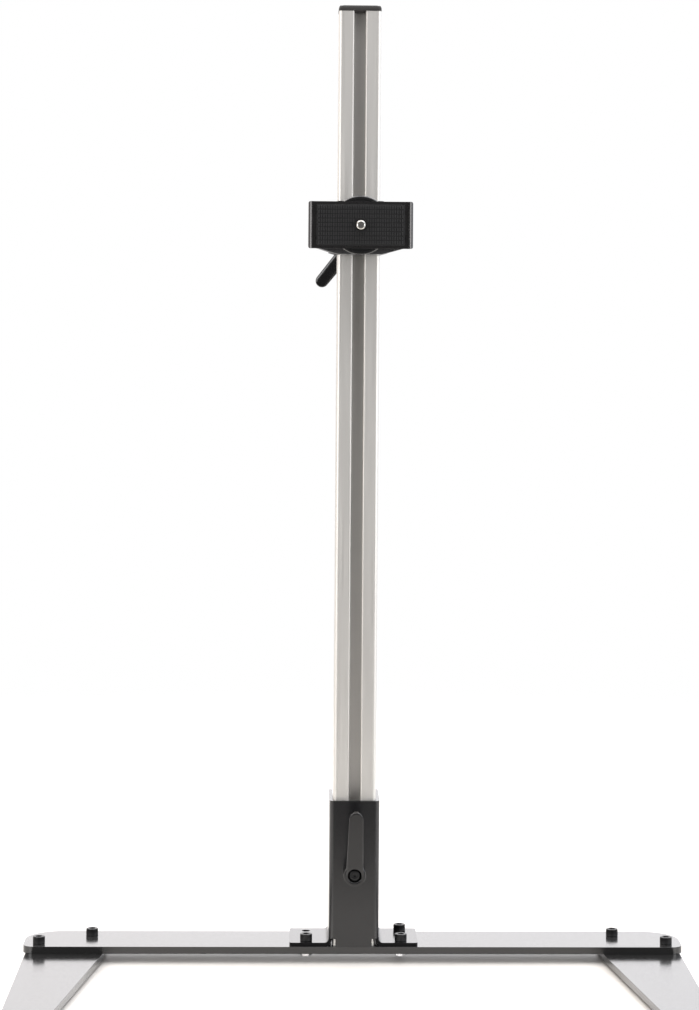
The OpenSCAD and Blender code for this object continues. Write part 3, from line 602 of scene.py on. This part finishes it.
def skin(name, rings):
    """A closed body through the rings, capped at both ends, with its normals outward."""
    work = bmesh.new()
    loops = [[work.verts.new(point) for point in one] for one in rings]
    for low, high in zip(loops, loops[1:]):
        for i in range(len(low)):
            j = (i + 1) % len(low)
            work.faces.new((low[i], low[j], high[j], high[i]))
    work.faces.new(loops[0][::-1])
    work.faces.new(loops[-1])
    bmesh.ops.recalc_face_normals(work, faces=work.faces)
    mesh = bpy.data.meshes.new(name)
    work.to_mesh(mesh)
    work.free()
    mesh.shade_smooth()
    mesh.set_sharp_from_angle(angle=SHARP_FROM)
    return new_object(name, mesh)


def hexagon(across_flats, most=99.0):
    """A hexagon's radius at an angle, cut to a circle of radius most."""
    sixth = math.pi / 3
    return lambda angle: min(across_flats / 2 / math.cos((angle % sixth) - sixth / 2), most)


print("corner of an 8 mm hexagon:", round(hexagon(8)(0), 3), "mm")

# %% [markdown]
# ### Socket head screws
#
# Seven cap screws hold the base together. Each head has a fine straight knurl for the
# fingers, a chamfered rim and a hexagon socket. One master screw is made for each length,
# and Geometry Nodes puts a copy on every place with its socket turned at random, as screws
# really end up.

# %% The master screw
HEAD_R, HEAD_H, KEY_AF, KEY_DEEP, SHANK_R = 4.25, 5.0, 4.0, 2.5, 2.5


def knurl(radius, depth, teeth, count):
    """A radius that steps in and out, so that each tooth takes an even number of points."""
    step = count // teeth
    return lambda angle: radius - depth * (round(angle / math.tau * count) % step < step / 2)


KNURL_POINTS, KNURL_TEETH, KNURL_DEEP = 144, 36, 0.12
cap_knurl = knurl(HEAD_R, KNURL_DEEP, KNURL_TEETH, KNURL_POINTS)


def screw_rings(shank):
    """From the shank's end up over the knurled head and down into its socket."""
    count = KNURL_POINTS
    return [
        ring(SHANK_R - 0.5, -shank, count), ring(SHANK_R, 0.5 - shank, count),
        ring(SHANK_R, 0, count),
        ring(HEAD_R - 0.25, 0, count), ring(HEAD_R, 0.25, count), ring(HEAD_R, 0.6, count),
        ring(cap_knurl, 0.75, count), ring(cap_knurl, HEAD_H - 0.9, count),
        ring(HEAD_R, HEAD_H - 0.75, count), ring(HEAD_R, HEAD_H - 0.45, count),
        ring(HEAD_R - 0.15, HEAD_H - 0.15, count), ring(HEAD_R - 0.45, HEAD_H, count),
        ring(2.62, HEAD_H, count), ring(hexagon(KEY_AF + 0.3, 2.5), HEAD_H - 0.15, count),
        ring(hexagon(KEY_AF, 2.4), HEAD_H - 0.3, count),
        ring(hexagon(KEY_AF, 2.4), HEAD_H - KEY_DEEP, count),
        ring(1.6, HEAD_H - KEY_DEEP - 0.1, count), ring(0.2, HEAD_H - KEY_DEEP - 0.7, count),
    ]


print("rings in a cap screw:", len(screw_rings(10)))

# %% [markdown]
# ### Trees for what repeats
#
# Three small functions start a Geometry Nodes tree with named inputs, end it in a plain
# mesh with its finish, and run it on an object. The screws, the nuts, the rubber's studs
# and the springs all use them, so each tree below is only its own few steps.

# %% Start, end and run a tree
def new_tree(name, inputs, output):
    """An empty tree with named inputs, its sockets' identifiers and the inputs to link."""
    made = bpy.data.node_groups.new(name, "GeometryNodeTree")
    sockets = {}
    for label, kind in inputs.items():
        socket = made.interface.new_socket(
            label, in_out="INPUT", socket_type="NodeSocket" + kind)
        sockets[label] = socket.identifier
    made.interface.new_socket(output, in_out="OUTPUT", socket_type="NodeSocketGeometry")
    return made, sockets, add(made, "NodeGroupInput").outputs


def end_tree(made, geometry, material):
    """Makes the copies real, gives them their finish and hands them out."""
    real = add(made, "GeometryNodeRealizeInstances", {"Geometry": geometry})
    coated = add(made, "GeometryNodeSetMaterial", {
        "Geometry": real.outputs[0], "Material": material,
    })
    add(made, "NodeGroupOutput", {0: coated.outputs[0]})


def run_tree(made, tree, sockets, values):
    """Sets a tree's inputs on the object, and keeps only the plain mesh that it makes."""
    modifier = made.modifiers.new(tree.name, "NODES")
    modifier.node_group = tree
    for label, value in values.items():
        modifier[sockets[label]] = value
    return plain(made)


print("meshes so far:", len(bpy.data.meshes))

# %% A tree that puts a master on every point
# a hexagon socket looks the same again after a sixth of a turn
MOST_TURN = math.pi / 3
repeat, repeat_inputs, given = new_tree("one_piece_on_every_place", {
    "Places": "Geometry", "Piece": "Object", "Finish": "Material", "Most turn": "Float",
    "Seed": "Int",
}, "Pieces")
piece = add(repeat, "GeometryNodeObjectInfo", {"Object": given["Piece"]})
turn = add(repeat, "FunctionNodeRandomValue", {"Max": given["Most turn"], "Seed": given["Seed"]})
spin = add(repeat, "ShaderNodeCombineXYZ", {"Z": turn.outputs["Value"]})
on_points = add(repeat, "GeometryNodeInstanceOnPoints", {
    "Points": given["Places"], "Instance": piece.outputs["Geometry"], "Rotation": spin.outputs[0],
})
end_tree(repeat, on_points.outputs[0], given["Finish"])


def repeated(name, master, places, material, seed):
    """A plain mesh with the master on each place, in metres; the master itself is removed."""
    points = bpy.data.meshes.new(name + "_places")
    points.from_pydata([tuple(place) for place in places], [], [])
    made = run_tree(new_object(name, points), repeat, repeat_inputs, {
        "Piece": master, "Finish": material, "Most turn": MOST_TURN, "Seed": seed,
    })
    bpy.data.objects.remove(master)
    return made


print("tree:", repeat.name, sorted(repeat_inputs))

# %% Where the screws are
def solids_of(node):
    """The lowest and the highest corner of each separate solid of a CAD node."""
    work = bmesh.new()
    work.from_mesh(frame["nodes"][node].data)
    bmesh.ops.remove_doubles(work, verts=work.verts, dist=WELD)
    left, found = set(work.verts), []
    while left:
        start = left.pop()
        group, edge = [start], [start]
        while edge:
            vert = edge.pop()
            for link in vert.link_edges:
                other = link.other_vert(vert)
                if other in left:
                    left.discard(other)
                    group.append(other)
                    edge.append(other)
        low = [min(v.co[k] for v in group) for k in range(3)]
        high = [max(v.co[k] for v in group) for k in range(3)]
        found.append((Vector(low), Vector(high)))
    work.free()
    return sorted(found, key=lambda pair: tuple(round(c, 5) for c in pair[0]))


def seats(node, drop):
    """Points on each solid's axis, drop mm under its top."""
    return [Vector(((low.x + high.x) / 2, (low.y + high.y) / 2, high.z - drop * MM))
            for low, high in solids_of(node)]


# node, seed of the sockets' turns
for node, seed in (("leg_screws", 3), ("bracket_screws", 8)):
    low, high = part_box(node)
    shank = (high.z - low.z) / MM - HEAD_H
    master = skin(node + "_master", screw_rings(shank))
    made = repeated(node + ".shown", master, seats(node, HEAD_H), oxide, seed)
    dress(made, oxide, "base", "black_screw", node)

# %% [markdown]
# ### Nuts
#
# Three thin plated nuts sit under the crossbar and show as small bright bars. A real nut
# has its corners turned off on both faces, which the cut hexagon rule gives.

# %% The nuts
low, high = solids_of("bracket_nuts")[0]
NUT_T = (high.z - low.z) / MM
NUT_AF, NUT_BORE_R, NUT_SEED = 8.0, 2.6, 3
NUT_FACE_R = NUT_AF / 2 - 0.1
turned = hexagon(NUT_AF, NUT_AF / 2 / math.cos(math.pi / 6) - 0.35)
master = skin("nut_master", [
    ring(NUT_BORE_R, 0), ring(NUT_FACE_R, 0), ring(turned, 0.15),
    ring(hexagon(NUT_AF), 0.45), ring(hexagon(NUT_AF), NUT_T - 0.45),
    ring(turned, NUT_T - 0.15), ring(NUT_FACE_R, NUT_T), ring(NUT_BORE_R, NUT_T),
])
places = seats("bracket_nuts", NUT_T)
made = repeated("bracket_nuts.shown", master, places, zinc, NUT_SEED)
dress(made, zinc, "base", "plated_steel", "bracket_nuts")

# %% [markdown]
# ## The camera's side
#
# The rubber face is moulded with a fine grid of square studs, so that a camera's base
# can't slip. The pad is a flat slab with a round hole, and its front, a deeper black than
# the studs as painted shade between them, shows between the studs. A filled curve with a
# small bevel makes such a slab in one go.

# %% The rubber's backing
plate_low, plate_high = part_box("plate_rubber")
axis_z = joints["camera_screw_turn"]["pos_m"][2]
HOLE_R, HOLE_POINTS, STUD_H, CORNER_R, SLAB_EDGE = 3.975, 48, 0.6, 1.0, 0.2
width, height = (plate_high.x - plate_low.x) / MM, (plate_high.z - plate_low.z) / MM
slab_front = plate_low.y + STUD_H * MM


def rounded_corners(steps=6):
    """The slab's outline in X and Z, in mm, less the bevel that grows from it."""
    points = []
    for k, (side_x, side_z) in enumerate(((1, 1), (-1, 1), (-1, -1), (1, -1))):
        for i in range(steps + 1):
            angle = math.pi / 2 * (k + i / steps)
            points.append((
                side_x * (width / 2 - CORNER_R) + (CORNER_R - SLAB_EDGE) * math.cos(angle),
                side_z * (height / 2 - CORNER_R) + (CORNER_R - SLAB_EDGE) * math.sin(angle),
            ))
    return points


flat = bpy.data.curves.new("rubber_slab", "CURVE")
flat.dimensions, flat.fill_mode = "2D", "BOTH"
turns = [math.tau * i / HOLE_POINTS for i in range(HOLE_POINTS)]
hole = [((HOLE_R + SLAB_EDGE) * math.cos(a), (HOLE_R + SLAB_EDGE) * math.sin(a)) for a in turns]
for loop in (rounded_corners(), hole):
    spline = flat.splines.new("POLY")
    spline.points.add(len(loop) - 1)
    for point, (x, z) in zip(spline.points, loop):
        point.co = (x * MM, z * MM, 0, 1)
    spline.use_cyclic_u = True
flat.extrude = (plate_high.y - slab_front) / 2 - SLAB_EDGE * MM
flat.bevel_depth, flat.bevel_resolution = SLAB_EDGE * MM, 2
made = plain(new_object("plate_rubber.slab", flat))
upright = Matrix.Rotation(math.pi / 2, 4, "X")
made.data.transform(
    Matrix.Translation((0, (slab_front + plate_high.y) / 2, axis_z)) @ upright
)
# the slab's deeper black is painted shade between the studs
dress(made, groove_shade_rubber, "carriage", "pad_rubber", "plate_rubber")

# %% [markdown]
# ### The studs
#
# Geometry Nodes lays the studs out on a grid and drops those over the hole. The studs are
# simple frustums, because there are hundreds of them. Their pitch is the photo's own, and
# at 1.68 by 3 mm it is just coarse enough to show in the picture.

# %% A tree that lays studs on a grid
studs, stud_inputs, given = new_tree("studs_on_a_grid", {
    "Field": "Vector", "Pitch": "Vector", "Stud": "Vector", "Hole": "Float",
    "Finish": "Material",
}, "Studs")
ratio = add(studs, "ShaderNodeVectorMath", {0: given["Field"], 1: given["Pitch"]},
            operation="DIVIDE")
gaps = add(studs, "ShaderNodeVectorMath", {0: ratio.outputs[0]}, operation="FLOOR")
counts = add(studs, "ShaderNodeVectorMath", {0: gaps.outputs[0], 1: (1, 1, 1)}, operation="ADD")
spans = add(studs, "ShaderNodeVectorMath", {0: gaps.outputs[0], 1: given["Pitch"]},
            operation="MULTIPLY")
count = add(studs, "ShaderNodeSeparateXYZ", {"Vector": counts.outputs[0]}).outputs
span = add(studs, "ShaderNodeSeparateXYZ", {"Vector": spans.outputs[0]}).outputs
grid = add(studs, "GeometryNodeMeshGrid", {
    "Size X": span["X"], "Size Y": span["Y"], "Vertices X": count["X"], "Vertices Y": count["Y"],
})
spot = add(studs, "GeometryNodeInputPosition").outputs[0]
off = add(studs, "ShaderNodeVectorMath", {0: spot}, operation="LENGTH").outputs["Value"]
inside = add(studs, "ShaderNodeMath", {0: off, 1: given["Hole"]}, operation="LESS_THAN")
kept = add(studs, "GeometryNodeDeleteGeometry", {
    "Geometry": grid.outputs[0], "Selection": inside.outputs[0],
})
stud = add(studs, "GeometryNodeMeshCone", {
    "Vertices": 4, "Radius Bottom": math.sqrt(0.5), "Radius Top": 0.8 * math.sqrt(0.5),
    "Depth": 1.0,
})
square = add(studs, "GeometryNodeTransform", {
    "Geometry": stud.outputs["Mesh"], "Rotation": (0, 0, math.pi / 4),
})
placed = add(studs, "GeometryNodeInstanceOnPoints", {
    "Points": kept.outputs[0], "Instance": square.outputs[0], "Scale": given["Stud"],
})
end_tree(studs, placed.outputs[0], given["Finish"])
print("tree:", studs.name, sorted(stud_inputs))

# %% The rubber's studs
PITCH_X, PITCH_Z, STUD_GAP, STUD_ROOT = 1.68, 3.0, 0.62, 0.05
MARGIN_X, MARGIN_Z = 1.9, 3.0
made = new_object("plate_rubber.studs", bpy.data.meshes.new("studs"))
run_tree(made, studs, stud_inputs, {
    "Field": Vector((width - MARGIN_X, height - MARGIN_Z, 0)) * MM,
    "Pitch": Vector((PITCH_X, PITCH_Z, 1)) * MM,
    "Stud": Vector((PITCH_X - STUD_GAP, PITCH_Z - STUD_GAP, STUD_H + STUD_ROOT)) * MM,
    "Hole": (HOLE_R + PITCH_Z / 2) * MM, "Finish": rubber,
})
made.data.transform(Matrix.Translation((0, slab_front + STUD_ROOT * MM, axis_z)) @ upright)
dress(made, rubber, "carriage", "pad_rubber")

# %% [markdown]
# ### The camera screw
#
# The screw is a real quarter-inch thread of 20 turns to the inch: its radius rises and
# falls with a phase that runs round the axis once for each pitch. Its chamfered end makes
# the bright ring in the middle of the rubber.

# %% The camera screw
screw_low, screw_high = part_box("camera_screw")
PITCH_THREAD, THREAD_R, THREAD_DEEP, CHAMFER, THREAD_STEPS = 1.27, 3.175, 0.62, 0.75, 52
NECK_R, FLANGE_R, FLANGE_T = 2.8, 6.35, 1.5
END_R, END_H = THREAD_R - CHAMFER, 0.08
FLANK = 0.42  # the part of the pitch that each flank of the thread takes
shown = (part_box("plate_rubber")[0].y - screw_low.y) / MM
whole = (screw_high.y - screw_low.y) / MM


def thread(height, most):
    """The radius of a thread at a height in mm, as a rule of the angle, never above most."""
    def rule(angle):
        phase = (height / PITCH_THREAD + angle / math.tau) % 1.0
        return min(THREAD_R - THREAD_DEEP * max(0.0, 1 - abs(phase - 0.5) / FLANK), most)
    return rule


screw = [ring(0.6, 0), ring(END_R - 0.15, 0), ring(END_R, END_H)]
for i in range(1, THREAD_STEPS + 1):
    up = END_H + (shown - END_H) * i / THREAD_STEPS
    screw.append(ring(thread(up, END_R + up), up))
screw += [
    ring(NECK_R, shown + 0.2), ring(NECK_R, whole - FLANGE_T), ring(FLANGE_R, whole - FLANGE_T),
    ring(FLANGE_R, whole - 0.3), ring(FLANGE_R - 0.3, whole), ring(1.9, whole),
    ring(1.6, whole - 0.6),
]
made = skin("camera_screw.shown", screw)
inward = Matrix.Rotation(-math.pi / 2, 4, "X")
made.data.transform(Matrix.Translation((0, screw_low.y, axis_z)) @ inward)
dress(made, nickel, "camera_wheel", "bright_steel", "camera_screw")

# %% [markdown]
# ### The thumbwheel
#
# The moulded wheel behind the plate has a straight knurl between two smooth rims, and those
# rims give the thin bright lines that its edge shows. It is a ring without end caps: the
# last ring of points joins the first one in the bore.

# %% The thumbwheel
wheel_low, wheel_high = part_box("thumbwheel")
WHEEL_R, WHEEL_T = (wheel_high.x - wheel_low.x) / 2 / MM, (wheel_high.y - wheel_low.y) / MM
WHEEL_POINTS, WHEEL_TEETH, TOOTH, BORE_R = 360, 90, 0.45, 2.85
RIM_ROUND, RIM_STEPS = 1.0, 6
rim = knurl(WHEEL_R - 0.05, TOOTH, WHEEL_TEETH, WHEEL_POINTS)
steps = [math.pi / 2 / RIM_STEPS * i for i in range(RIM_STEPS + 1)]
quarter = [(RIM_ROUND * (1 - math.sin(a)), RIM_ROUND * (1 - math.cos(a))) for a in steps]
front_round = [(WHEEL_R - r, h) for r, h in quarter]
back_round = [(WHEEL_R - r, WHEEL_T - h) for r, h in reversed(quarter)]
wheel = [ring(r, h, WHEEL_POINTS) for r, h in [
    (BORE_R, 0), (9.4, 0), (9.6, 0.25), (WHEEL_R - 2.6, 0.25), (WHEEL_R - 2.4, 0), *front_round,
    (WHEEL_R, 1.3), (rim, 1.55), (rim, WHEEL_T - 1.55), (WHEEL_R, WHEEL_T - 1.3), *back_round,
    (WHEEL_R - 3, WHEEL_T), (WHEEL_R - 3.6, WHEEL_T - 0.8), (8.6, WHEEL_T - 0.8), (8.0, WHEEL_T),
    (6.45, WHEEL_T), (6.4, WHEEL_T - 1.5), (BORE_R, WHEEL_T - 1.5),
]]
made = skin("thumbwheel.shown", wheel + [wheel[0]])
work = bmesh.new()
work.from_mesh(made.data)
caps = [face for face in work.faces if len(face.verts) > 4]
bmesh.ops.delete(work, geom=caps, context="FACES_ONLY")
bmesh.ops.remove_doubles(work, verts=work.verts, dist=0.002 * MM)
bmesh.ops.recalc_face_normals(work, faces=work.faces)
work.to_mesh(made.data)
work.free()
made.data.transform(Matrix.Translation((0, wheel_low.y, axis_z)) @ inward)
dress(made, moulded_black, "camera_wheel", "wheel_plastic", "thumbwheel")

# %% [markdown]
# ## The clamp levers
#
# A lever is a small pressure die casting: every edge is round and the arm flows out of the
# hub. A fine voxel remesh of the solid, then many light rounds of smoothing, rounds all
# edges alike, which bevels can't do where so many curved faces meet. The arm's outer face
# is one straight slope on the real lever, so the points above that slope are lowered first.

# %% Lever places
# each lever's own frame: Z along its stud, Y along its arm
TURNED = {
    "column": Matrix.Rotation(math.pi / 2, 4, "X") @ Matrix.Rotation(math.radians(-1), 4, "Z"),
    "carriage": (
        Matrix.Rotation(-math.pi / 2, 4, "X") @ Matrix.Rotation(math.radians(38.7), 4, "Z")
    ),
}
LEVERS = {
    key: Matrix.Translation(joints[key + "_lever_turn"]["pos_m"]) @ turned
    for key, turned in TURNED.items()
}
print("levers:", {key: tuple(round(c, 3) for c in at.translation) for key, at in LEVERS.items()})

# %% The handles
HUB_TOP, ARM_TOP, ARM_BACK, ARM_END = 21.4, 27.0, -6.0, 45.0
VOXEL, EASE_ROUNDS = 0.28, 40


def cast(node, lever):
    """The solid with every edge round and the arm's face one slope from the hub to its tip."""
    made = welded(node, node + ".shown")
    remesh = made.modifiers.new("cast", "REMESH")
    remesh.mode, remesh.voxel_size = "VOXEL", VOXEL * MM
    plain(made)
    made.data.transform(lever.inverted())
    slope = (ARM_TOP - HUB_TOP) / (ARM_END - ARM_BACK)
    for vert in made.data.vertices:
        vert.co.z = min(vert.co.z, HUB_TOP * MM + max(0, vert.co.y - ARM_BACK * MM) * slope)
    made.data.transform(lever)
    ease = made.modifiers.new("ease", "SMOOTH")
    ease.factor, ease.iterations = 0.5, EASE_ROUNDS
    plain(made)
    made.data.shade_smooth()
    return made


for key, lever in LEVERS.items():
    node = key + "_lever_handle"
    dress(cast(node, lever), lever_coat, key + "_handle", "black_casting", node)

# %% [markdown]
# ### The springs
#
# A coil spring pushes each handle back on to its teeth. The spring is a spiral swept with a
# round wire, which Geometry Nodes has ready made.

# %% The springs
SPRING_LOW, SPRING_TOP, SPRING_R, TURNS = 12.3, 18.3, 3.2, 4.0
WIRE, WIRE_GAP = 0.6, 0.05
springs, spring_inputs, given = new_tree("coil_spring", {
    "Coil radius": "Float", "Length": "Float", "Turns": "Float", "Wire radius": "Float",
    "Finish": "Material",
}, "Spring")
coil = add(springs, "GeometryNodeCurveSpiral", {
    "Resolution": 24, "Rotations": given["Turns"], "Start Radius": given["Coil radius"],
    "End Radius": given["Coil radius"], "Height": given["Length"],
})
wire = add(springs, "GeometryNodeCurvePrimitiveCircle", {
    "Resolution": 10, "Radius": given["Wire radius"],
})
swept = add(springs, "GeometryNodeCurveToMesh", {
    "Curve": coil.outputs[0], "Profile Curve": wire.outputs[0], "Fill Caps": True,
})
end_tree(springs, swept.outputs[0], given["Finish"])

for key, lever in LEVERS.items():
    node = key + "_lever_spring"
    made = new_object(node + ".shown", bpy.data.meshes.new(node))
    run_tree(made, springs, spring_inputs, {
        "Coil radius": SPRING_R * MM, "Turns": TURNS, "Wire radius": WIRE / 2 * MM,
        "Length": (SPRING_TOP - SPRING_LOW - WIRE - 2 * WIRE_GAP) * MM, "Finish": zinc,
    })
    made.data.shade_smooth()
    seat = (SPRING_LOW + WIRE / 2 + WIRE_GAP) * MM
    made.data.transform(lever @ Matrix.Translation((0, 0, seat)))
    dress(made, zinc, key + "_lever", "plated_steel", node)
    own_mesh(made)

# %% [markdown]
# ### The retaining screws
#
# A low socket screw in the end of each stud keeps the handle and its spring on. Its head
# has a rounded rim, and sits in the hub's round recess.

# %% The retaining screws
RETAIN_R, RETAIN_HEAD_R, RETAIN_HEAD_H, RETAIN_KEY = 2.0, 4.1, 2.6, 2.5
key_hole = hexagon(RETAIN_KEY)
for key, lever in LEVERS.items():
    node = key + "_lever_screw"
    low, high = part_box(node)
    shank = (high.y - low.y) / MM - RETAIN_HEAD_H
    made = skin(node + ".shown", [
        ring(RETAIN_R - 0.4, -shank), ring(RETAIN_R, 0.4 - shank), ring(RETAIN_R, 0),
        ring(RETAIN_HEAD_R - 0.2, 0), ring(RETAIN_HEAD_R, 0.2), ring(RETAIN_HEAD_R, 1.4),
        ring(RETAIN_HEAD_R - 0.25, 1.95), ring(RETAIN_HEAD_R - 0.8, 2.4),
        ring(RETAIN_HEAD_R - 1.5, RETAIN_HEAD_H), ring(1.7, RETAIN_HEAD_H),
        ring(key_hole, RETAIN_HEAD_H - 0.15), ring(key_hole, RETAIN_HEAD_H - 1.2),
        ring(0.3, RETAIN_HEAD_H - 1.5),
    ])
    made.data.transform(lever @ Matrix.Translation((0, 0, SPRING_TOP * MM)))
    dress(made, oxide, key + "_lever", "plated_steel", node)

# %% [markdown]
# ## The view transform
#
# The picture is shown with the Standard view transform.

# %% Finish
bpy.context.scene.view_settings.view_transform = "Standard"
